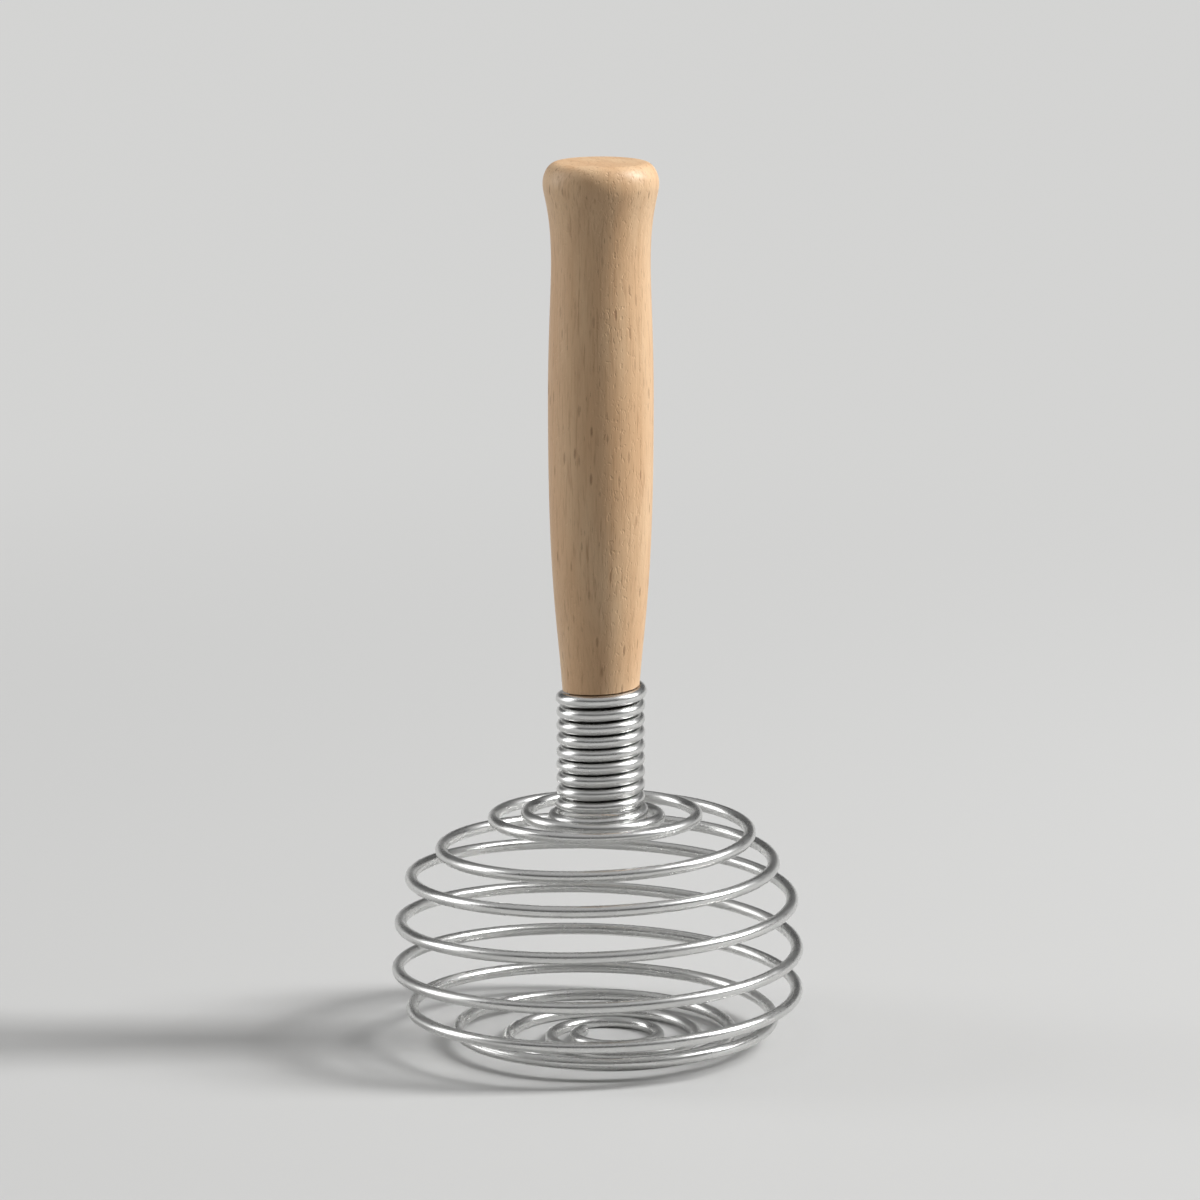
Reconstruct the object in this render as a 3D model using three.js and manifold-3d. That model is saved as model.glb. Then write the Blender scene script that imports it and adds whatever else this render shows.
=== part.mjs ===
// Spiral whisk: a turned beech handle, and one long spring wire that is wound round the handle's
// spigot, opens into a wide round cage and closes again in a flat spiral foot.
// Millimetres, +Z up, origin on the axis at the foot. The wire is right-handed: it climbs
// counter-clockwise seen from above. A turn starts at +X, and turns are counted downwards.

import * as THREE from 'three';
import { mergeVertices } from 'three/addons/utils/BufferGeometryUtils.js';
import Module from 'manifold-3d';

const wasm = await Module();
wasm.setup();

// Driving dimensions

const wireDiameter = 3; // and across the corners of its six-sided section
const pieceGap = 0.3; // free room where two pieces meet
const footFlat = 0.3; // depth that the foot's round wire is worn flat underneath

const windingTurnGap = 0.3; // free room between two turns of the close winding, for a round wire
const topTurnGap = 0.5; // the same under the topmost turn, which rises more
const windingTurns = 8.5; // close turns between the cage and the topmost turn
const topTurnLift = 0.4; // how much wider the topmost turn is than the winding
const throatLift = 2; // how much wider the winding's lowest half turn is
const throatLead = 0.8; // the same half a turn earlier
const openingTurns = 1.5; // turns over which the winding opens towards the cage

const cageRadius = 49.3; // widest turn of the cage, to the middle of the wire
const cageHeight = 54.9; // from the foot's wire to the winding's lowest turn

// Course of the wire below the winding: turn, and shares of the cage's radius and height
const cageCourse = [
  { turn: 0, out: 0.29, up: 1.004 },
  { turn: 0.5, out: 0.367, up: 1.008 },
  { turn: 1, out: 0.477, up: 1.012 },
  { turn: 1.5, out: 0.533, up: 0.985 },
  { turn: 2, out: 0.742, up: 0.933 },
  { turn: 2.5, out: 0.789, up: 0.845 },
  { turn: 3, out: 0.876, up: 0.796 },
  { turn: 4, out: 0.97, up: 0.624 },
  { turn: 5, out: 0.996, up: 0.4 },
  { turn: 5.5, out: 1, up: 0.304 },
  { turn: 6, out: 0.995, up: 0.207 },
  { turn: 6.5, out: 0.935, up: 0.13 },
  { turn: 7, out: 0.855, up: 0.074 },
  { turn: 8, out: 0.608, up: 0.017 },
  { turn: 8.5, out: 0.517, up: 0 },
  { turn: 9, out: 0.414, up: 0 },
  { turn: 10, out: 0.227, up: 0 },
  { turn: 10.6, out: 0.18, up: 0 },
];
const coilStart = 1.5; // turn where the springing coil takes over from the winding
const footStart = 7.5; // turn where the rigid foot takes over from the coil
const cageShift = new THREE.Vector3(-0.7, 0, 0); // the cage's middle lies this far from the handle's
const cageShiftStart = 2; // turn where the middle starts to move over
const cageShiftTurns = 1; // turns that it takes
const footShift = new THREE.Vector3(3, -3, 0); // the same three for the foot's middle
const footShiftStart = 6;
const footShiftTurns = 3;

const tailRise = 0.8; // how far the wire's upper end climbs from the topmost turn to its hook
const tailLift = 0.2; // how much further out it lies behind the handle
const hookBend = 2.6; // bend radius of the hook, where it turns into the wood
const tailDepth = 4; // its straight length inside the wood

const spigotRadius = 7.6;
const spigotChamfer = 0.8;
const spigotShort = 4; // the spigot ends this far above the winding's lowest turn
const shoulderRise = 0.05; // the shoulder lies this far above the upper end of the topmost turn
const grooveTurns = 0.75; // turns of the wire below that end that the shoulder has a groove for
const handleLength = 129.9; // from the shoulder above the winding to the top
const shoulderRadius = 9.4;
const shoulderRound = 0.4;
const bellyRadius = 12.83;
const bellyHeight = 70.6; // above the shoulder, as the heights that follow
const waistRadius = 12.04;
const waistHeight = 105.6;
const knobRadius = 14.05;
const knobHeight = 124.7;
const topFlatRadius = 10.4;
const neckSlope = 0.07; // how fast the handle widens just above the shoulder
const neckPull = 18.2; // how far each end of a curve holds its direction, as the pulls that follow
const bellyPullDown = 44;
const bellyPullUp = 17;
const waistPullDown = 8;
const waistPullUp = 13;
const knobPullDown = 3;

// Fineness of the faceted solids
const wireSides = 6;
const stepsPerTurn = 24;
const leastStep = 0.3; // the first and last step of a tube are no shorter than this share
const tailSteps = 6;
const handleSides = 40;
const curveSteps = 8;

// Values that follow from the dimensions
const wireRadius = wireDiameter / 2;
const footHeight = wireRadius - footFlat;
const windingRadius = spigotRadius + pieceGap + wireRadius;
const windingPitch = wireDiameter + windingTurnGap;
const throatTurn = -0.5;
const closeTopTurn = throatTurn - windingTurns;
const topTurn = closeTopTurn - 1;
const tailStandOff = windingRadius + topTurnLift + tailLift;
const windingTopHeight = cageHeight + windingTurns * windingPitch + wireDiameter + topTurnGap;
const shoulderHeight = footHeight + windingTopHeight + shoulderRise;
const holeHeight = footHeight + windingTopHeight + tailRise;

const windingCourse = [
  { turn: topTurn, radius: windingRadius + topTurnLift, height: windingTopHeight },
  { turn: closeTopTurn, radius: windingRadius, height: cageHeight + windingTurns * windingPitch },
  {
    turn: throatTurn - openingTurns,
    radius: windingRadius,
    height: cageHeight + openingTurns * windingPitch,
  },
  { turn: throatTurn - 0.5, radius: windingRadius + throatLead, height: cageHeight + windingPitch / 2 },
  { turn: throatTurn, radius: windingRadius + throatLift, height: cageHeight },
];
const course = [
  ...windingCourse,
  ...cageCourse.map(({ turn, out, up }) => ({ turn, radius: out * cageRadius, height: up * cageHeight })),
];

// Slope of a field at a station, level at a peak or a dip so that the course never swings past one
function slopeAt(field, i) {
  const rise = (k) => (course[k + 1][field] - course[k][field]) / (course[k + 1].turn - course[k].turn);
  if (i === 0) return rise(0);
  if (i === course.length - 1) return rise(i - 1);
  if (rise(i - 1) * rise(i) <= 0) return 0;
  const before = course[i].turn - course[i - 1].turn;
  const after = course[i + 1].turn - course[i].turn;
  const shareBefore = 2 * after + before;
  const shareAfter = after + 2 * before;
  return (shareBefore + shareAfter) / (shareBefore / rise(i - 1) + shareAfter / rise(i));
}

// Smooth value of a field of the course at a turn
function courseValue(field, turn) {
  let i = 0;
  while (i < course.length - 2 && turn > course[i + 1].turn) i += 1;
  const span = course[i + 1].turn - course[i].turn;
  const s = (turn - course[i].turn) / span;
  const start = course[i][field];
  const end = course[i + 1][field];
  const startSlope = slopeAt(field, i) * span;
  const endSlope = slopeAt(field, i + 1) * span;
  const bend = 3 * (end - start) - 2 * startSlope - endSlope;
  const twist = 2 * (start - end) + startSlope + endSlope;
  return start + s * (startSlope + s * (bend + s * twist));
}

// Point of the wire's middle line at a turn
function wirePoint(turn) {
  const radius = courseValue('radius', turn);
  const height = footHeight + Math.max(courseValue('height', turn), 0);
  const angle = -turn * 2 * Math.PI;
  const toCage = THREE.MathUtils.smoothstep(turn, cageShiftStart, cageShiftStart + cageShiftTurns);
  const toFoot = THREE.MathUtils.smoothstep(turn, footShiftStart, footShiftStart + footShiftTurns);
  const middle = new THREE.Vector3().lerp(cageShift, toCage).lerp(footShift, toFoot);
  return middle.add(new THREE.Vector3(radius * Math.cos(angle), radius * Math.sin(angle), height));
}

// Points of the wire's middle line on the whole steps between two turns
function turningPoints(firstTurn, lastTurn) {
  const points = [];
  const firstStep = Math.ceil(firstTurn * stepsPerTurn + leastStep);
  const lastStep = Math.floor(lastTurn * stepsPerTurn - leastStep);
  for (let step = firstStep; step <= lastStep; step += 1) points.push(wirePoint(step / stepsPerTurn));
  return points;
}

// Straight end of a stretch of wire that meets the next one at a turn, side -1 above it, 1 below it
function straightEnd(turn, side) {
  const probe = 0.001;
  const middle = wirePoint(turn);
  const along = wirePoint(turn + probe).sub(middle).setLength(side);
  const face = middle.clone().addScaledVector(along, pieceGap / 2);
  return [face, face.clone().addScaledVector(along, wireDiameter)];
}

// Turns that the straight end takes up
function straightTurns(turn) {
  return (pieceGap / 2 + wireDiameter) / (2 * Math.PI * courseValue('radius', turn));
}

// The wire's upper end climbs on behind the handle
function tailSwing() {
  const start = wirePoint(topTurn);
  const end = new THREE.Vector3(hookBend, tailStandOff, holeHeight);
  const leaving = new THREE.Vector3(start.x, tailStandOff / 2, start.z + tailRise / 3);
  const arriving = new THREE.Vector3((start.x + end.x) / 2, tailStandOff, end.z - tailRise / 3);
  return new THREE.CubicBezierCurve3(start, leaving, arriving, end).getPoints(tailSteps);
}

// Then it hooks into the wood, and runs straight in it
function tailHook(extraDepth) {
  const points = [];
  for (let step = 0; step <= tailSteps; step += 1) {
    const angle = (Math.PI / 2) * (1 + step / tailSteps);
    const x = hookBend * (1 + Math.cos(angle));
    const y = tailStandOff - hookBend * (1 - Math.sin(angle));
    points.push(new THREE.Vector3(x, y, holeHeight));
  }
  points.push(new THREE.Vector3(0, tailStandOff - hookBend - tailDepth - extraDepth, holeHeight));
  return points;
}

// Rings of section corners along a line of points, with one flat of the section always facing down
function sectionRings(points, radius) {
  const up = new THREE.Vector3(0, 0, 1);
  return points.map((point, i) => {
    const before = points[Math.max(i - 1, 0)];
    const after = points[Math.min(i + 1, points.length - 1)];
    const tangent = after.clone().sub(before).normalize();
    const sideways = tangent.clone().cross(up).normalize();
    const upward = sideways.clone().cross(tangent);
    const ring = [];
    for (let k = 0; k < wireSides; k += 1) {
      const angle = (k * 2 * Math.PI) / wireSides;
      const corner = point.clone();
      corner.addScaledVector(sideways, radius * Math.cos(angle));
      corner.addScaledVector(upward, radius * Math.sin(angle));
      ring.push(corner);
    }
    return ring;
  });
}

// A closed tube along a line of points
function tubeAlong(points, radius) {
  const corners = sectionRings(points, radius).flat().flatMap((corner) => corner.toArray());
  const faces = [];
  for (let ring = 0; ring < points.length - 1; ring += 1) {
    for (let k = 0; k < wireSides; k += 1) {
      const a = ring * wireSides + k;
      const b = ring * wireSides + ((k + 1) % wireSides);
      faces.push(a, a + wireSides, b, b, a + wireSides, b + wireSides);
    }
  }
  const last = (points.length - 1) * wireSides;
  for (let k = 1; k < wireSides - 1; k += 1) {
    faces.push(0, k, k + 1);
    faces.push(last, last + k + 1, last + k);
  }
  const geometry = new THREE.BufferGeometry();
  geometry.setAttribute('position', new THREE.Float32BufferAttribute(corners, 3));
  geometry.setIndex(faces);
  return geometry;
}

// Solid from a geometry, with shared corners merged and flat triangles left out
function toSolid(geometry) {
  const bare = geometry.clone();
  bare.deleteAttribute('normal');
  bare.deleteAttribute('uv');
  const merged = mergeVertices(bare);
  const triangles = [];
  const index = merged.index.array;
  for (let i = 0; i < index.length; i += 3) {
    const [a, b, c] = [index[i], index[i + 1], index[i + 2]];
    if (a !== b && b !== c && c !== a) triangles.push(a, b, c);
  }
  return new wasm.Manifold(new wasm.Mesh({
    numProp: 3,
    vertProperties: new Float32Array(merged.attributes.position.array),
    triVerts: new Uint32Array(triangles),
  }));
}

function toGeometry(solid) {
  const mesh = solid.getMesh();
  const geometry = new THREE.BufferGeometry();
  geometry.setAttribute('position', new THREE.Float32BufferAttribute(mesh.vertProperties, 3));
  geometry.setIndex([...mesh.triVerts]);
  geometry.computeVertexNormals();
  return geometry;
}

// The turned handle: spigot, shoulder, belly, waist and rounded knob, grooved and bored for the wire's end
function makeHandle() {
  const top = shoulderHeight + handleLength;
  const belly = shoulderHeight + bellyHeight;
  const waist = shoulderHeight + waistHeight;
  const knob = shoulderHeight + knobHeight;
  const spigotEnd = footHeight + cageHeight + spigotShort;
  const outline = new THREE.Path();
  outline.moveTo(0, spigotEnd);
  outline.lineTo(spigotRadius - spigotChamfer, spigotEnd);
  outline.lineTo(spigotRadius, spigotEnd + spigotChamfer);
  outline.lineTo(spigotRadius, shoulderHeight);
  outline.lineTo(shoulderRadius - shoulderRound, shoulderHeight);
  outline.lineTo(shoulderRadius, shoulderHeight + shoulderRound);
  outline.bezierCurveTo(
    shoulderRadius + neckPull * neckSlope, shoulderHeight + neckPull,
    bellyRadius, belly - bellyPullDown,
    bellyRadius, belly,
  );
  outline.bezierCurveTo(
    bellyRadius, belly + bellyPullUp,
    waistRadius, waist - waistPullDown,
    waistRadius, waist,
  );
  outline.bezierCurveTo(
    waistRadius, waist + waistPullUp,
    knobRadius, knob - knobPullDown,
    knobRadius, knob,
  );
  outline.absellipse(topFlatRadius, knob, knobRadius - topFlatRadius, top - knob, 0, Math.PI / 2);
  outline.lineTo(0, top);
  const turned = new THREE.LatheGeometry(outline.getPoints(curveSteps), handleSides);
  turned.rotateX(Math.PI / 2);
  const groove = tubeAlong(upperEnd(pieceGap, topTurn + grooveTurns), wireRadius + pieceGap);
  return toGeometry(toSolid(turned).subtract(toSolid(groove)));
}

// The wire from its hooked upper end down to a turn
function upperEnd(extraDepth, lastTurn) {
  const tail = [...tailSwing(), ...tailHook(extraDepth).slice(1)].reverse();
  return [...tail, ...turningPoints(topTurn, lastTurn)];
}

// The winding: hooked upper end, close turns round the spigot, and the cage's flat shoulder
function windingLine() {
  const turns = upperEnd(0, coilStart - straightTurns(coilStart));
  return [...turns, ...straightEnd(coilStart, -1).reverse()];
}

// The coil: the widest turns, which close up when the handle is pressed
function coilLine() {
  const turns = turningPoints(
    coilStart + straightTurns(coilStart),
    footStart - straightTurns(footStart),
  );
  return [...straightEnd(coilStart, 1), ...turns, ...straightEnd(footStart, -1).reverse()];
}

// The foot's turns, down to the open eye
function footLine() {
  const lastTurn = course[course.length - 1].turn;
  const turns = turningPoints(footStart + straightTurns(footStart), lastTurn);
  return [...straightEnd(footStart, 1), ...turns, wirePoint(lastTurn)];
}

// The foot, flat underneath where it stands
function makeFoot() {
  const reach = 4 * courseValue('radius', footStart);
  const underside = new THREE.BoxGeometry(reach, reach, wireDiameter);
  underside.translate(0, 0, -wireDiameter / 2);
  return toGeometry(toSolid(tubeAlong(footLine(), wireRadius)).subtract(toSolid(underside)));
}

// Least room between one turn of the wire and another, over the corners of all their sections
function leastSelfGap(points) {
  const nearAlong = 4 * wireDiameter; // sections closer along the wire belong to the same bend
  const rings = sectionRings(points, wireRadius);
  const travel = [0];
  for (let i = 1; i < points.length; i += 1) travel.push(travel[i - 1] + points[i].distanceTo(points[i - 1]));
  let least = Infinity;
  for (let i = 0; i < points.length; i += 1) {
    for (let j = i + 1; j < points.length; j += 1) {
      if (travel[j] - travel[i] < nearAlong || points[i].distanceTo(points[j]) > nearAlong) continue;
      for (const corner of rings[i]) {
        for (const other of rings[j]) least = Math.min(least, corner.distanceTo(other));
      }
    }
  }
  return least;
}

const lines = { collar_winding: windingLine(), globe_coil: coilLine(), base_spiral: footLine() };
const wholeWire = Object.values(lines).flat();
console.log(`Least gap of the wire to itself: ${leastSelfGap(wholeWire).toFixed(2)} mm`);
for (const [name, points] of Object.entries(lines)) {
  console.log(`Least gap of ${name} to itself: ${leastSelfGap(points).toFixed(2)} mm`);
}

// Finishes
const beech = new THREE.MeshStandardMaterial({ color: 0xd9ad7c, roughness: 0.5, metalness: 0 });
const steel = new THREE.MeshStandardMaterial({ color: 0xc9cbce, roughness: 0.22, metalness: 1 });

function piece(name, geometry, material) {
  const mesh = new THREE.Mesh(geometry, material.clone());
  mesh.name = name;
  return mesh;
}

const whisk = new THREE.Group();
whisk.add(piece('wooden_handle', makeHandle(), beech));
whisk.add(piece('collar_winding', tubeAlong(lines.collar_winding, wireRadius), steel));
whisk.add(piece('globe_coil', tubeAlong(lines.globe_coil, wireRadius), steel));
whisk.add(piece('base_spiral', makeFoot(), steel));

export default whisk;
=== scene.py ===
"""Spiral whisk: a turned beech handle, and one long spring wire that is wound round the handle's
spigot, opens into a wide round cage and closes again in a flat spiral foot."""

import math

import bpy
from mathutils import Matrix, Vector
from mathutils.geometry import interpolate_bezier


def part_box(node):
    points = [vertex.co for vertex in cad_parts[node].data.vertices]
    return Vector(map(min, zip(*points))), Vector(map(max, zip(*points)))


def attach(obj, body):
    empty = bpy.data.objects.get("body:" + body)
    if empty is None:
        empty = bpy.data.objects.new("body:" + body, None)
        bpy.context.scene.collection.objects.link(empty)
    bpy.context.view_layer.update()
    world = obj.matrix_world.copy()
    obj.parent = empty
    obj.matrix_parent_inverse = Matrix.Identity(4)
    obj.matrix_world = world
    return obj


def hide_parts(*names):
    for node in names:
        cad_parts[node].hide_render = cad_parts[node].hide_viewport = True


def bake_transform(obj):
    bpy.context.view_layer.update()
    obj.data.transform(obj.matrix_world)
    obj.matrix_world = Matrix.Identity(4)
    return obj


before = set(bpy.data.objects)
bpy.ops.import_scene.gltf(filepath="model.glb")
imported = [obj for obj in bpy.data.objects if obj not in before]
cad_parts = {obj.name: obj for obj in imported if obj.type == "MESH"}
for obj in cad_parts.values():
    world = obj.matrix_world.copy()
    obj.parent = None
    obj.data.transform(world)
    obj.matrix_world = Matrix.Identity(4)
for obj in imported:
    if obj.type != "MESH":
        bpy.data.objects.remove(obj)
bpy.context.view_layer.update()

MM = 0.001

# The wire, as it is wound
WIRE_DIAMETER = 3 * MM
WIRE_RADIUS = WIRE_DIAMETER / 2
FOOT_FLAT = 0.3 * MM  # depth that the foot's wire is worn flat underneath
FOOT_HEIGHT = WIRE_RADIUS - FOOT_FLAT
PIECE_GAP = 0.3 * MM  # free room where two pieces meet
CUT_ROUND = 0.3 * MM  # rounding of the wire's cut ends

SPIGOT_RADIUS = 7.6 * MM
WINDING_RADIUS = SPIGOT_RADIUS + PIECE_GAP + WIRE_RADIUS
WINDING_TURN_GAP = 0.3 * MM  # free room between two turns of the close winding
WINDING_PITCH = WIRE_DIAMETER + WINDING_TURN_GAP
TOP_TURN_GAP = 0.5 * MM  # the same under the topmost turn, which rises more
TOP_TURN_PITCH = WIRE_DIAMETER + TOP_TURN_GAP
TOP_TURN_LIFT = 0.4 * MM  # how much wider the topmost turn is than the winding
THROAT_LIFT = 2 * MM  # how much wider the winding's lowest half turn is
THROAT_LEAD = 0.8 * MM  # the same half a turn earlier
WINDING_TURNS = 8.5  # close turns between the cage and the topmost turn
OPENING_TURNS = 1.5  # turns over which the winding opens towards the cage
THROAT_TURN = -0.5  # turns are counted downwards, and from this one the wire widens into the cage
CLOSE_TOP_TURN = THROAT_TURN - WINDING_TURNS
TOP_TURN = CLOSE_TOP_TURN - 1

CAGE_RADIUS = 49.3 * MM  # widest turn of the cage, to the middle of the wire
CAGE_HEIGHT = 54.9 * MM  # from the foot's wire to the winding's lowest turn
WINDING_TOP = CAGE_HEIGHT + WINDING_TURNS * WINDING_PITCH + TOP_TURN_PITCH

# Course of the wire below the winding: turn, and shares of the cage's radius and height
CAGE_COURSE = [
    (0, 0.29, 1.004),
    (0.5, 0.367, 1.008),
    (1, 0.477, 1.012),
    (1.5, 0.533, 0.985),
    (2, 0.742, 0.933),
    (2.5, 0.789, 0.845),
    (3, 0.876, 0.796),
    (4, 0.97, 0.624),
    (5, 0.996, 0.4),
    (5.5, 1, 0.304),
    (6, 0.995, 0.207),
    (6.5, 0.935, 0.13),
    (7, 0.855, 0.074),
    (8, 0.608, 0.017),
    (8.5, 0.517, 0),
    (9, 0.414, 0),
    (10, 0.227, 0),
    (10.6, 0.18, 0),
]
WINDING_COURSE = [
    (TOP_TURN, WINDING_RADIUS + TOP_TURN_LIFT, WINDING_TOP),
    (CLOSE_TOP_TURN, WINDING_RADIUS, WINDING_TOP - TOP_TURN_PITCH),
    (THROAT_TURN - OPENING_TURNS, WINDING_RADIUS, CAGE_HEIGHT + OPENING_TURNS * WINDING_PITCH),
    (THROAT_TURN - 0.5, WINDING_RADIUS + THROAT_LEAD, CAGE_HEIGHT + WINDING_PITCH / 2),
    (THROAT_TURN, WINDING_RADIUS + THROAT_LIFT, CAGE_HEIGHT),
]
COURSE = WINDING_COURSE + [(turn, out * CAGE_RADIUS, up * CAGE_HEIGHT) for turn, out, up in CAGE_COURSE]
TURN, RADIUS, HEIGHT = 0, 1, 2  # columns of the course
LAST_TURN = COURSE[-1][TURN]

CAGE_SHIFT = Vector((-0.7 * MM, 0, 0))  # the cage's middle lies this far from the handle's axis
FOOT_SHIFT = Vector((3 * MM, -3 * MM, 0))  # and the foot's middle this far
FOOT_START = 7.5  # turn where the wire starts to stand on its foot
CAGE_SHIFT_TURNS = (2, 3)  # turns between which the middle moves over
FOOT_SHIFT_TURNS = (6, 9)

# The handle, as it is turned
SHOULDER_RADIUS = 9.4 * MM
SHOULDER_ROUND = 0.4 * MM
SHOULDER_RISE = 0.05 * MM  # the shoulder lies this far above the upper end of the topmost turn
SHOULDER_HEIGHT = FOOT_HEIGHT + WINDING_TOP + SHOULDER_RISE
GROOVE_TURNS = 0.75  # turns of the wire below its upper end that the shoulder has a groove for
HANDLE_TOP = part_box("wooden_handle")[1].z
SPIGOT_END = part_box("wooden_handle")[0].z
SPIGOT_CHAMFER = 0.8 * MM
BELLY_RADIUS = 12.83 * MM
BELLY = SHOULDER_HEIGHT + 70.6 * MM
WAIST_RADIUS = 12.04 * MM
WAIST = SHOULDER_HEIGHT + 105.6 * MM
KNOB_RADIUS = 14.05 * MM
KNOB = SHOULDER_HEIGHT + 124.7 * MM
TOP_FLAT_RADIUS = 10.4 * MM
NECK_SLOPE = 0.07  # how fast the handle widens just above the shoulder
NECK_PULL = 18.2 * MM  # how far each end of a curve holds its direction, as the pulls that follow
BELLY_PULL_DOWN = 44 * MM
BELLY_PULL_UP = 17 * MM
WAIST_PULL_DOWN = 8 * MM
WAIST_PULL_UP = 13 * MM
KNOB_PULL_DOWN = 3 * MM

# The wire's upper end, hooked into the wood behind the handle
TAIL_LIFT = 0.2 * MM  # how much further out it lies than the topmost turn
TAIL_STAND_OFF = WINDING_RADIUS + TOP_TURN_LIFT + TAIL_LIFT
TAIL_RISE = 0.8 * MM  # how far it climbs from the topmost turn to its hook
HOLE_HEIGHT = FOOT_HEIGHT + WINDING_TOP + TAIL_RISE
HOOK_BEND = 2.6 * MM  # bend radius of the hook
TAIL_DEPTH = 4 * MM  # its straight length inside the wood

# Fineness of the meshes
STEPS_PER_TURN = 96
TAIL_STEPS = 24
DEPTH_STEPS = 4  # on the straight length inside the wood
WIRE_SIDES = 24
END_RINGS = (0, 0.12, 0.35, 0.65)  # places of a cut end's rings, as shares of its rounding
HANDLE_SIDES = 192
CURVE_STEPS = 48
ARC_STEPS = 16
TOP_RINGS = (0.75, 0.5, 0.25)  # places of the rings on the handle's flat top, as shares of its radius
SHARP_EDGE = math.radians(35)  # an edge of the handle that turns more stays crisp

# The photograph's view
CAMERA_DISTANCE = 1525.4 * MM
CAMERA_DIP = 0.193489  # radians
AIM = Vector((-0.2 * MM, 0, 110.17 * MM))
FOCAL_PIXELS = 6254  # focal length in the photograph's pixels
PHOTO_PIXELS = 1200
SENSOR_WIDTH = 36  # millimetres
CAMERA_REACH = (0.05, 60)  # nearest and farthest that it sees, in metres

# The studio, in metres and watts
FLOOR_RADIUS = 8
COVE_RADIUS = 0.6
WALL_HEIGHT = 1.4
FLOOR_THICKNESS = 0.1
FLOOR_SIDES = 96
FLOOR_BLEND = (0.3, 0.9)  # distances between which the floor takes on its even tone
FLOOR_TONE = (0.62, 0.62, 0.612, 1)
LAMP_AIM = Vector((0, 0, 0.11))
WALL_GLOW = 0.08
CEILING_GLOW = 0.42  # above that of the walls
CEILING_EDGE = (25, 60)  # degrees above the horizon between which the walls turn into the ceiling


# Camera


def make_camera():
    data = bpy.data.cameras.new("camera")
    data.sensor_width = SENSOR_WIDTH
    data.lens = FOCAL_PIXELS / PHOTO_PIXELS * SENSOR_WIDTH
    data.clip_start, data.clip_end = CAMERA_REACH
    camera = bpy.data.objects.new("camera", data)
    bpy.context.scene.collection.objects.link(camera)
    back = Vector((0, -math.cos(CAMERA_DIP), math.sin(CAMERA_DIP)))
    camera.location = AIM + back * CAMERA_DISTANCE
    camera.rotation_mode = "QUATERNION"
    camera.rotation_quaternion = (-back).to_track_quat("-Z", "Y")
    bpy.context.scene.camera = camera


# Finishes


class Reading:
    """What a recipe reads at each point or in each direction: sums on it add Math nodes"""

    def __init__(self, recipe, socket):
        self.recipe = recipe
        self.socket = socket

    def __add__(self, other):
        return self.recipe.maths("ADD", self, other)

    def __radd__(self, other):
        return self.recipe.maths("ADD", other, self)

    def __sub__(self, other):
        return self.recipe.maths("SUBTRACT", self, other)

    def __rsub__(self, other):
        return self.recipe.maths("SUBTRACT", other, self)

    def __mul__(self, other):
        return self.recipe.maths("MULTIPLY", self, other)

    def __rmul__(self, other):
        return self.recipe.maths("MULTIPLY", other, self)

    def __truediv__(self, other):
        return self.recipe.maths("DIVIDE", self, other)


class Recipe:
    """The nodes that feed one shader"""

    def __init__(self, tree, shader):
        self.tree = tree
        self.shader = tree.nodes[shader]

    def node(self, kind, settings, feeds, output=0):
        """Any node: its settings are set first, then the values or links of its sockets"""
        made = self.tree.nodes.new(kind)
        for name, setting in settings.items():
            setattr(made, name, setting)
        for socket, feed in feeds.items():
            self.feed(made.inputs[socket], feed)
        return Reading(self, made.outputs[output])

    def feed(self, socket, value):
        if isinstance(value, Reading):
            self.tree.links.new(value.socket, socket)
        else:
            socket.default_value = value

    def give(self, socket, value):
        """A value or a link for a socket of the shader itself"""
        self.feed(self.shader.inputs[socket], value)

    def maths(self, operation, first, second):
        return self.node("ShaderNodeMath", {"operation": operation}, {0: first, 1: second})

    def spread(self, place, cell):
        """A place in the finish, counted in cells of these three sizes"""
        per_metre = tuple(1 / size for size in cell)
        return self.node("ShaderNodeVectorMath", {"operation": "MULTIPLY"}, {0: place, 1: per_metre})

    def noise(self, place, cell, detail=2, roughness=0.5, output="Fac"):
        """Soft noise from 0 to 1, whose blots have about the size of a cell"""
        feeds = {"Vector": self.spread(place, cell), "Scale": 1, "Detail": detail, "Roughness": roughness}
        return self.node("ShaderNodeTexNoise", {}, feeds, output)

    def push_aside(self, place, cell, reach):
        """The same place, which soft noise has pushed along each axis by at most this reach"""
        feeds = {0: self.noise(place, cell, output="Color"), 1: (reach, reach, reach), 2: place}
        return self.node("ShaderNodeVectorMath", {"operation": "MULTIPLY_ADD"}, feeds)

    def step(self, value, low, high):
        """0 below low, 1 above high, smooth between them"""
        feeds = {"Value": value, "From Min": low, "From Max": high}
        return self.node("ShaderNodeMapRange", {"interpolation_type": "SMOOTHSTEP"}, feeds)

    def mix(self, share, first, second):
        """The first colour, which turns into the second as the share goes from 0 to 1"""
        feeds = {0: share, 6: first, 7: second}
        return self.node("ShaderNodeMix", {"data_type": "RGBA"}, feeds, output=2)

    def bump(self, height, depth):
        """Surface relief: a height from 0 to 1 stands for this many metres"""
        return self.node("ShaderNodeBump", {}, {"Strength": 1, "Distance": depth, "Height": height})


class Finish(Recipe):
    """A material, with the values that are the same all over its surface"""

    def __init__(self, name, same_all_over):
        self.material = bpy.data.materials.new(name)
        self.material.use_nodes = True
        super().__init__(self.material.node_tree, "Principled BSDF")
        for socket, value in same_all_over.items():
            self.give(socket, value)


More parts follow.
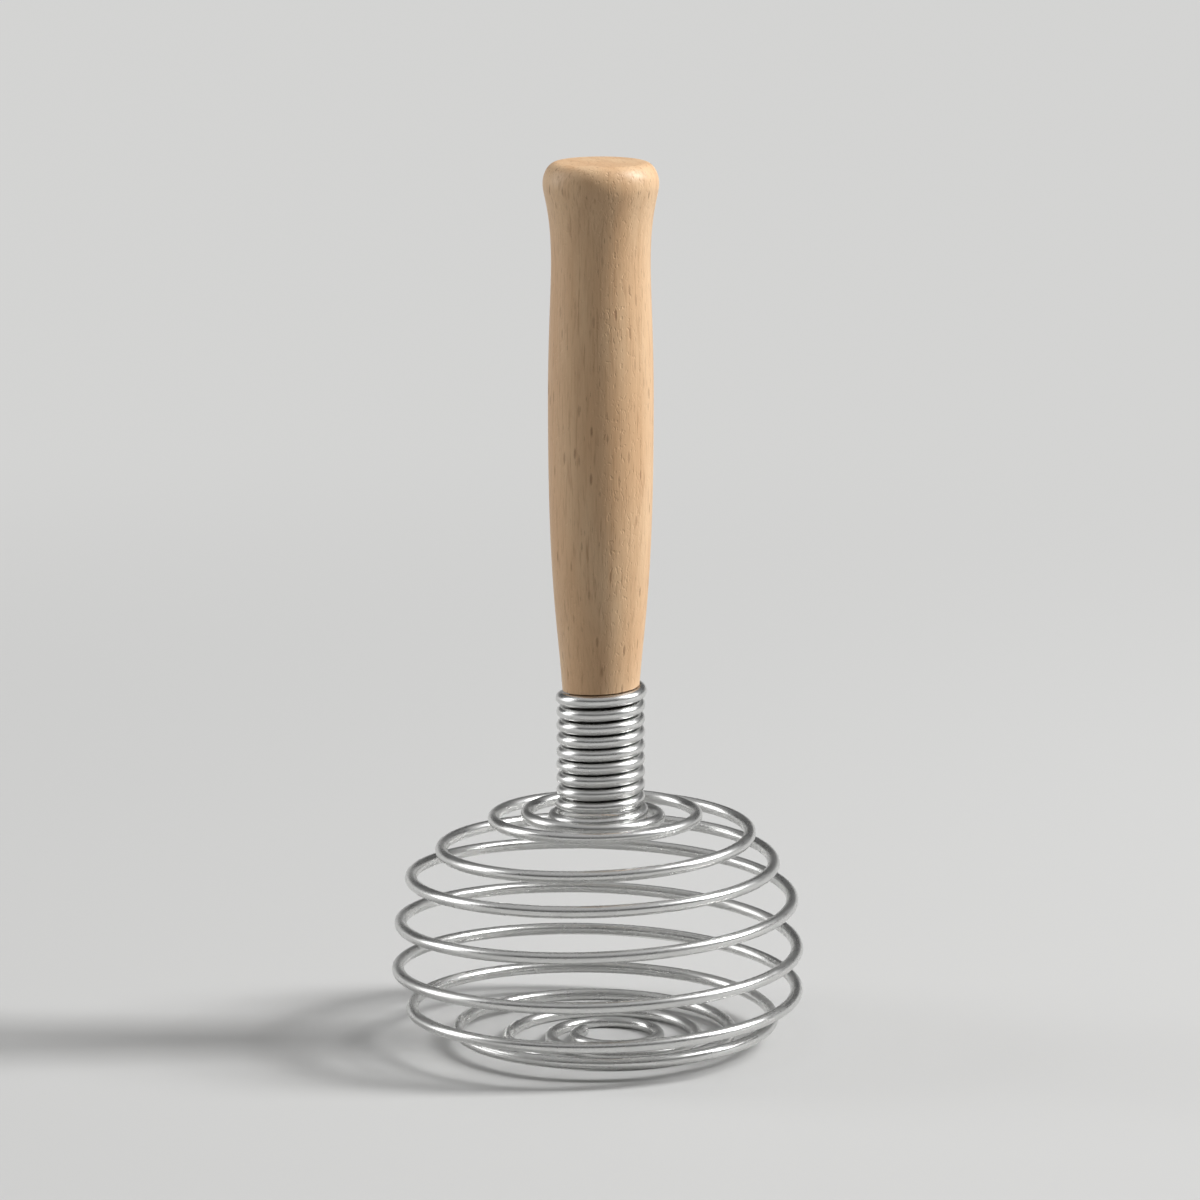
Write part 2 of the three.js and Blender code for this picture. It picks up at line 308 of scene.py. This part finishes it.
def oiled_beech():
    finish = Finish("oiled_beech", {"Specular IOR Level": 0.45})
    place = finish.node("ShaderNodeTexCoord", {}, {}, output="Object")

    # Growth rings round a heart that lies well outside the blank
    heart = (38 * MM, 24 * MM, 0)
    ring_width = 3.1 * MM
    wander = finish.noise(place, (14 * MM, 14 * MM, 70 * MM))
    squat = finish.spread(place, (1, 1, 25))  # height counts for little, so the rings run up the handle
    feeds = {0: squat, 1: heart}
    from_heart = finish.node("ShaderNodeVectorMath", {"operation": "DISTANCE"}, feeds, output="Value")
    ring = finish.maths("PINGPONG", from_heart / ring_width + wander * 1.6, 1)
    late_wood = finish.step(ring, 0.55, 1)

    # Long fibres, and the blotchy tone of the board
    fibre = finish.noise(place, (0.5 * MM, 0.5 * MM, 14 * MM), detail=3, roughness=0.6)
    fine_fibre = finish.noise(place, (0.16 * MM, 0.16 * MM, 3 * MM), detail=1)
    blotch = finish.noise(place, (9 * MM, 9 * MM, 45 * MM), detail=1)

    # Short dark flecks of the rays, in two sizes, and the fine pits that sanding has left
    ragged = finish.push_aside(place, (0.3 * MM, 0.3 * MM, 0.3 * MM), 0.25 * MM)
    flecks = ray_flecks(finish, ragged, (2 * MM, 2 * MM, 9 * MM), 0.22)
    small_flecks = ray_flecks(finish, ragged, (1.1 * MM, 1.1 * MM, 6 * MM), 0.17)
    dark = finish.maths("MAXIMUM", flecks, small_flecks * 0.7)
    streak = finish.step(finish.noise(place, (0.7 * MM, 0.7 * MM, 8 * MM), detail=2), 0.55, 0.75)
    pits = finish.step(finish.noise(place, (0.7 * MM, 0.7 * MM, 1.3 * MM), detail=1), 0.58, 0.74)

    pale = (0.87, 0.60, 0.36, 1)
    warm = (0.77, 0.47, 0.25, 1)
    late_brown = (0.60, 0.34, 0.17, 1)
    fibre_brown = (0.56, 0.32, 0.16, 1)
    fine_fibre_brown = (0.51, 0.31, 0.16, 1)
    streak_brown = (0.46, 0.24, 0.12, 1)
    fleck_brown = (0.27, 0.12, 0.06, 1)
    colour = finish.mix(finish.step(blotch, 0.3, 0.7) * 0.7, pale, warm)
    colour = finish.mix(late_wood * 0.22, colour, late_brown)
    colour = finish.mix(finish.step(fibre, 0.45, 0.75) * 0.35, colour, fibre_brown)
    colour = finish.mix(finish.step(fine_fibre, 0.5, 0.8) * 0.22, colour, fine_fibre_brown)
    colour = finish.mix(streak * 0.45, colour, streak_brown)
    colour = finish.mix(dark * 0.58, colour, fleck_brown)

    # Painted shade, with some grime: the spigot below the shoulder is painted near black, where the
    # wire's close turns shade it
    height = finish.node("ShaderNodeSeparateXYZ", {}, {0: place}, output="Z")
    above_spigot = finish.step(height, SHOULDER_HEIGHT - WIRE_RADIUS, SHOULDER_HEIGHT)
    # painted shade of the recess under the winding, with some grime
    spigot_painted_shade_and_grime = (0.045, 0.035, 0.028, 1)
    finish.give("Base Color", finish.mix(above_spigot, spigot_painted_shade_and_grime, colour))

    finish.give("Roughness", 0.34 + fibre * 0.2 + dark * 0.2)
    relief = fibre * 0.5 + fine_fibre * 0.25 - dark - pits
    finish.give("Normal", finish.bump(relief, 0.05 * MM))
    return finish.material


def ray_flecks(finish, place, cell, reach):
    """Spindle-shaped flecks, one in a cell, out to this share of the cell, some fainter than others"""
    feeds = {"Vector": finish.spread(place, cell), "Scale": 1}
    away = finish.node("ShaderNodeTexVoronoi", {}, feeds, output="Distance")
    chance = finish.node("ShaderNodeTexVoronoi", {}, feeds, output="Color")
    depth = finish.node("ShaderNodeSeparateXYZ", {}, {0: chance}, output="X")
    return (1 - finish.step(away, reach * 0.4, reach)) * (0.3 + depth * 0.7)


def drawn_steel():
    finish = Finish("drawn_steel", {"Metallic": 1})
    place = finish.node("ShaderNodeAttribute", {"attribute_name": "drawn_place"}, {}, output="Vector")

    # Drawing lines run along the wire, and handling has dulled it in places
    lines = finish.noise(place, (0.22 * MM, 0.22 * MM, 40 * MM), detail=2)
    smudge = finish.noise(place, (3 * MM, 3 * MM, 9 * MM), detail=3, roughness=0.6)
    nicks = finish.noise(place, (0.4 * MM, 0.4 * MM, 0.8 * MM), detail=1)

    bright = (0.70, 0.70, 0.69, 1)
    dull = (0.52, 0.52, 0.51, 1)
    finish.give("Base Color", finish.mix(finish.step(smudge, 0.4, 0.75) * 0.4, bright, dull))
    finish.give("Roughness", 0.2 + finish.step(smudge, 0.35, 0.75) * 0.1 + lines * 0.1)
    relief = lines - finish.step(nicks, 0.72, 0.82)
    finish.give("Normal", finish.bump(relief, 0.0012 * MM))
    return finish.material


def pale_floor():
    """Pale where it is seen, also in the steel; far from the object it has one even tone"""
    finish = Finish("pale_floor", {"Roughness": 0.7, "Emission Strength": 1})
    path = finish.node("ShaderNodeLightPath", {}, {}, output="Is Camera Ray")
    for ray in ("Is Glossy Ray", "Is Transmission Ray"):
        path = path + finish.node("ShaderNodeLightPath", {}, {}, output=ray)
    place = finish.node("ShaderNodeTexCoord", {}, {}, output="Object")
    away = finish.node("ShaderNodeVectorMath", {"operation": "LENGTH"}, {0: place}, output="Value")
    far = finish.step(away, *FLOOR_BLEND) * path
    seen = (0.6, 0.6, 0.593, 1)
    bounced = (0.3, 0.3, 0.297, 1)  # the same floor for the light that it throws back on the object
    black = (0, 0, 0, 1)
    finish.give("Base Color", finish.mix(far, finish.mix(path, bounced, seen), black))
    finish.give("Emission Color", finish.mix(far, black, FLOOR_TONE))
    return finish.material


# Course of the wire


def slope_at(column, i):
    """Slope of the course at a station, level at a peak or a dip so that it never swings past one"""

    def rise(k):
        return (COURSE[k + 1][column] - COURSE[k][column]) / (COURSE[k + 1][TURN] - COURSE[k][TURN])

    if i == 0:
        return rise(0)
    if i == len(COURSE) - 1:
        return rise(i - 1)
    if rise(i - 1) * rise(i) <= 0:
        return 0
    before = COURSE[i][TURN] - COURSE[i - 1][TURN]
    after = COURSE[i + 1][TURN] - COURSE[i][TURN]
    share_before = 2 * after + before
    share_after = after + 2 * before
    return (share_before + share_after) / (share_before / rise(i - 1) + share_after / rise(i))


def course_value(column, turn):
    """Smooth value of a column of the course at a turn"""
    i = 0
    while i < len(COURSE) - 2 and turn > COURSE[i + 1][TURN]:
        i += 1
    span = COURSE[i + 1][TURN] - COURSE[i][TURN]
    s = (turn - COURSE[i][TURN]) / span
    start, end = COURSE[i][column], COURSE[i + 1][column]
    start_slope = slope_at(column, i) * span
    end_slope = slope_at(column, i + 1) * span
    bend = 3 * (end - start) - 2 * start_slope - end_slope
    twist = 2 * (start - end) + start_slope + end_slope
    return start + s * (start_slope + s * (bend + s * twist))


def smooth_share(value, low, high):
    s = min(max((value - low) / (high - low), 0), 1)
    return s * s * (3 - 2 * s)


def wire_point(turn):
    """Point of the wire's middle line at a turn, counted downwards from the winding's lowest"""
    radius = course_value(RADIUS, turn)
    height = FOOT_HEIGHT + max(course_value(HEIGHT, turn), 0)
    angle = -turn * 2 * math.pi
    to_cage = smooth_share(turn, *CAGE_SHIFT_TURNS)
    to_foot = smooth_share(turn, *FOOT_SHIFT_TURNS)
    shift = CAGE_SHIFT * to_cage + (FOOT_SHIFT - CAGE_SHIFT) * to_foot
    return shift + Vector((radius * math.cos(angle), radius * math.sin(angle), height))


def tail_hook(extra_depth):
    """Middle line of the wire's upper end: a quarter bend into the wood, and a straight length in it"""
    points = []
    for step in range(TAIL_STEPS + 1):
        angle = math.pi / 2 * (1 + step / TAIL_STEPS)
        x = HOOK_BEND * (1 + math.cos(angle))
        y = TAIL_STAND_OFF - HOOK_BEND * (1 - math.sin(angle))
        points.append(Vector((x, y, HOLE_HEIGHT)))
    mouth = points[-1]
    deepest = mouth - Vector((0, TAIL_DEPTH + extra_depth, 0))
    points += [mouth.lerp(deepest, step / DEPTH_STEPS) for step in range(1, DEPTH_STEPS + 1)]
    return points


def tail_swing():
    """Middle line from the topmost turn, on behind the handle, to the hook"""
    start = wire_point(TOP_TURN)
    end = Vector((HOOK_BEND, TAIL_STAND_OFF, HOLE_HEIGHT))
    leaving = Vector((start.x, TAIL_STAND_OFF / 2, start.z + TAIL_RISE / 3))
    arriving = Vector(((start.x + end.x) / 2, TAIL_STAND_OFF, end.z - TAIL_RISE / 3))
    return interpolate_bezier(start, leaving, arriving, end, TAIL_STEPS + 1)


def upper_end(extra_depth, last_turn):
    """Middle line of the wire, from its end inside the wood down to a turn"""
    steps = round((last_turn - TOP_TURN) * STEPS_PER_TURN)
    tail = tail_swing()[:-1] + tail_hook(extra_depth)
    turns = [wire_point(TOP_TURN + step / STEPS_PER_TURN) for step in range(1, steps + 1)]
    return tail[::-1] + turns


# Meshes


def link_mesh(name, corners, faces, material):
    mesh = bpy.data.meshes.new(name)
    mesh.from_pydata(corners, [], faces)
    mesh.materials.append(material)
    made = bpy.data.objects.new(name, mesh)
    bpy.context.scene.collection.objects.link(made)
    return made


def tube_corners(points, radii, sides):
    """Rings of corners round a line of points, with one corner of each ring straight up"""
    up = Vector((0, 0, 1))
    corners = []
    for i, (point, radius) in enumerate(zip(points, radii)):
        before = points[max(i - 1, 0)]
        after = points[min(i + 1, len(points) - 1)]
        tangent = (after - before).normalized()
        sideways = tangent.cross(up).normalized()
        upward = sideways.cross(tangent)
        for k in range(sides):
            angle = 2 * math.pi * k / sides
            corners.append(point + radius * (sideways * math.cos(angle) + upward * math.sin(angle)))
    return corners


def tube_faces(rings, sides):
    faces = [tuple(range(sides)), tuple(range(rings * sides - 1, (rings - 1) * sides - 1, -1))]
    for ring in range(rings - 1):
        for k in range(sides):
            a = ring * sides + k
            b = ring * sides + (k + 1) % sides
            faces.append((a, a + sides, b + sides, b))
    return faces


def rounded_ends(points, radius, rounding):
    """The same line with rings added at both ends, and radii that round off the cut ends"""

    def end_rings(tip, inward):
        direction = (inward - tip).normalized()
        rings = [tip + direction * rounding * share for share in END_RINGS]
        radii = [radius - rounding * (1 - math.sqrt(1 - (1 - share) ** 2)) for share in END_RINGS]
        return rings, radii

    first, first_radii = end_rings(points[0], points[1])
    last, last_radii = end_rings(points[-1], points[-2])
    line = first + points[1:-1] + last[::-1]
    return line, first_radii + [radius] * (len(points) - 2) + last_radii[::-1]


def make_wire():
    """The one spring wire, made as it stands unpressed; pressed, it would close up between the foot and
    the winding
    """
    points, radii = rounded_ends(upper_end(0, LAST_TURN), WIRE_RADIUS, CUT_ROUND)
    middle = [point for point in points for _ in range(WIRE_SIDES)]
    wire = link_mesh("whisk_wire", middle, tube_faces(len(points), WIRE_SIDES), drawn_steel())

    # Made first with all corners on the middle line, then each corner is moved out to its place on the
    # tube, none below the floor
    foot_line = Vector((0, 0, wire_point(FOOT_START).z))
    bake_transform(wire)
    corners = tube_corners(points, radii, WIRE_SIDES)
    for vertex, corner in zip(wire.data.vertices, corners):
        vertex.co = (corner.x, corner.y, max(corner.z, 0))
    wire.data.update()
    wire.data.shade_smooth()

    # Where each corner would lie if the wire were drawn out straight
    drawn = wire.data.attributes.new("drawn_place", "FLOAT_VECTOR", "POINT")
    travelled = 0
    for i, point in enumerate(points):
        travelled += (point - points[max(i - 1, 0)]).length
        for k in range(WIRE_SIDES):
            angle = 2 * math.pi * k / WIRE_SIDES
            across = (WIRE_RADIUS * math.cos(angle), WIRE_RADIUS * math.sin(angle))
            drawn.data[i * WIRE_SIDES + k].vector = (*across, travelled)

    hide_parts("collar_winding", "globe_coil", "base_spiral")


def handle_outline():
    """Half outline of the turned handle, as radius and height, from the spigot's end to the top"""
    outline = [
        (0, SPIGOT_END),
        (SPIGOT_RADIUS - SPIGOT_CHAMFER, SPIGOT_END),
        (SPIGOT_RADIUS, SPIGOT_END + SPIGOT_CHAMFER),
        (SPIGOT_RADIUS, SHOULDER_HEIGHT),
        (SHOULDER_RADIUS - SHOULDER_ROUND, SHOULDER_HEIGHT),
    ]
    neck = (SHOULDER_RADIUS, SHOULDER_HEIGHT + SHOULDER_ROUND)
    outline += arc((neck[0] - SHOULDER_ROUND, neck[1]), (SHOULDER_ROUND, SHOULDER_ROUND), -90, 0)
    outline += bow(
        neck,
        (SHOULDER_RADIUS + NECK_PULL * NECK_SLOPE, SHOULDER_HEIGHT + NECK_PULL),
        (BELLY_RADIUS, BELLY - BELLY_PULL_DOWN),
        (BELLY_RADIUS, BELLY),
    )
    outline += bow(
        (BELLY_RADIUS, BELLY),
        (BELLY_RADIUS, BELLY + BELLY_PULL_UP),
        (WAIST_RADIUS, WAIST - WAIST_PULL_DOWN),
        (WAIST_RADIUS, WAIST),
    )
    outline += bow(
        (WAIST_RADIUS, WAIST),
        (WAIST_RADIUS, WAIST + WAIST_PULL_UP),
        (KNOB_RADIUS, KNOB - KNOB_PULL_DOWN),
        (KNOB_RADIUS, KNOB),
    )
    outline += arc((TOP_FLAT_RADIUS, KNOB), (KNOB_RADIUS - TOP_FLAT_RADIUS, HANDLE_TOP - KNOB), 0, 90)
    outline += [(TOP_FLAT_RADIUS * share, HANDLE_TOP) for share in TOP_RINGS]
    return outline + [(0, HANDLE_TOP)]


def bow(start, leaving, arriving, end):
    """Points of a curve between two outline points, without the first"""
    stations = [Vector((*place, 0)) for place in (start, leaving, arriving, end)]
    return [(point.x, point.y) for point in interpolate_bezier(*stations, CURVE_STEPS + 1)[1:]]


def arc(centre, radii, first, last):
    """Points of an arc of the outline between two angles, without the first"""
    points = []
    for step in range(1, ARC_STEPS + 1):
        angle = math.radians(first + (last - first) * step / ARC_STEPS)
        points.append((centre[0] + radii[0] * math.cos(angle), centre[1] + radii[1] * math.sin(angle)))
    return points


def turn_on_lathe(outline, sides):
    """Corners and faces of a body turned from an outline that starts and ends on the axis"""
    rings = outline[1:-1]
    corners = []
    for radius, height in rings:
        for k in range(sides):
            angle = 2 * math.pi * k / sides
            corners.append(Vector((radius * math.cos(angle), radius * math.sin(angle), height)))
    foot = len(corners)
    corners += [Vector((0, 0, outline[0][1])), Vector((0, 0, outline[-1][1]))]
    faces = []
    last = (len(rings) - 1) * sides
    for k in range(sides):
        after = (k + 1) % sides
        faces.append((foot, after, k))
        faces.append((foot + 1, last + k, last + after))
        for ring in range(0, last, sides):
            faces.append((ring + k, ring + after, ring + sides + after, ring + sides + k))
    return corners, faces


def make_handle():
    """The turned handle, with a groove and a hole for the wire's upper end"""
    wood = oiled_beech()
    handle = link_mesh("turned_handle", *turn_on_lathe(handle_outline(), HANDLE_SIDES), wood)
    line = upper_end(PIECE_GAP, TOP_TURN + GROOVE_TURNS)
    corners = tube_corners(line, [WIRE_RADIUS + PIECE_GAP] * len(line), WIRE_SIDES)
    drill = link_mesh("drill", corners, tube_faces(len(line), WIRE_SIDES), wood)
    cut = handle.modifiers.new("hole", "BOOLEAN")
    cut.operation = "DIFFERENCE"
    cut.solver = "EXACT"
    cut.object = drill
    drilled = bpy.data.meshes.new_from_object(handle.evaluated_get(bpy.context.evaluated_depsgraph_get()))
    handle.modifiers.clear()
    handle.data = drilled
    bpy.data.objects.remove(drill)
    drilled.shade_smooth()
    drilled.set_sharp_from_angle(angle=SHARP_EDGE)
    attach(handle, "handle")
    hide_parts("wooden_handle")


# Studio


def make_floor():
    """A round floor that turns up into a low wall all round, like a dish"""
    outline = [(0, 0), (FLOOR_RADIUS - COVE_RADIUS, 0)]
    outline += arc((FLOOR_RADIUS - COVE_RADIUS, COVE_RADIUS), (COVE_RADIUS, COVE_RADIUS), -90, 0)
    outline += [(FLOOR_RADIUS, WALL_HEIGHT), (FLOOR_RADIUS + FLOOR_THICKNESS, WALL_HEIGHT)]
    outline += [(FLOOR_RADIUS + FLOOR_THICKNESS, -FLOOR_THICKNESS), (0, -FLOOR_THICKNESS)]
    link_mesh("floor", *turn_on_lathe(outline, FLOOR_SIDES), pale_floor())


def make_lamp(name, place, size, watts):
    data = bpy.data.lights.new(name, "AREA")
    data.shape = "RECTANGLE"
    data.size, data.size_y = size
    data.energy = watts
    lamp = bpy.data.objects.new(name, data)
    bpy.context.scene.collection.objects.link(lamp)
    lamp.location = place
    lamp.rotation_mode = "QUATERNION"
    lamp.rotation_quaternion = (LAMP_AIM - Vector(place)).to_track_quat("-Z", "Y")


def light_room():
    """The room round the floor: dim walls, and a ceiling that glows softly"""
    world = bpy.data.worlds.new("studio")
    world.use_nodes = True
    room = Recipe(world.node_tree, "Background")
    room.give("Color", (1, 1, 1, 1))
    direction = room.node("ShaderNodeTexCoord", {}, {}, output="Generated")
    upward = room.node("ShaderNodeSeparateXYZ", {}, {0: direction}, output="Z")
    ceiling = room.step(upward, *[math.sin(math.radians(angle)) for angle in CEILING_EDGE])
    room.give("Strength", WALL_GLOW + ceiling * CEILING_GLOW)
    bpy.context.scene.world = world


def light_studio():
    light_room()
    make_lamp("key", place=(2.34, 0.05, 1.98), size=(0.6, 1.5), watts=104)
    make_lamp("fill", place=(-2.3, 0.45, 0.96), size=(1.2, 1.8), watts=21)
    bpy.context.scene.view_settings.view_transform = "Standard"


make_camera()
make_wire()
make_handle()
make_floor()
light_studio()
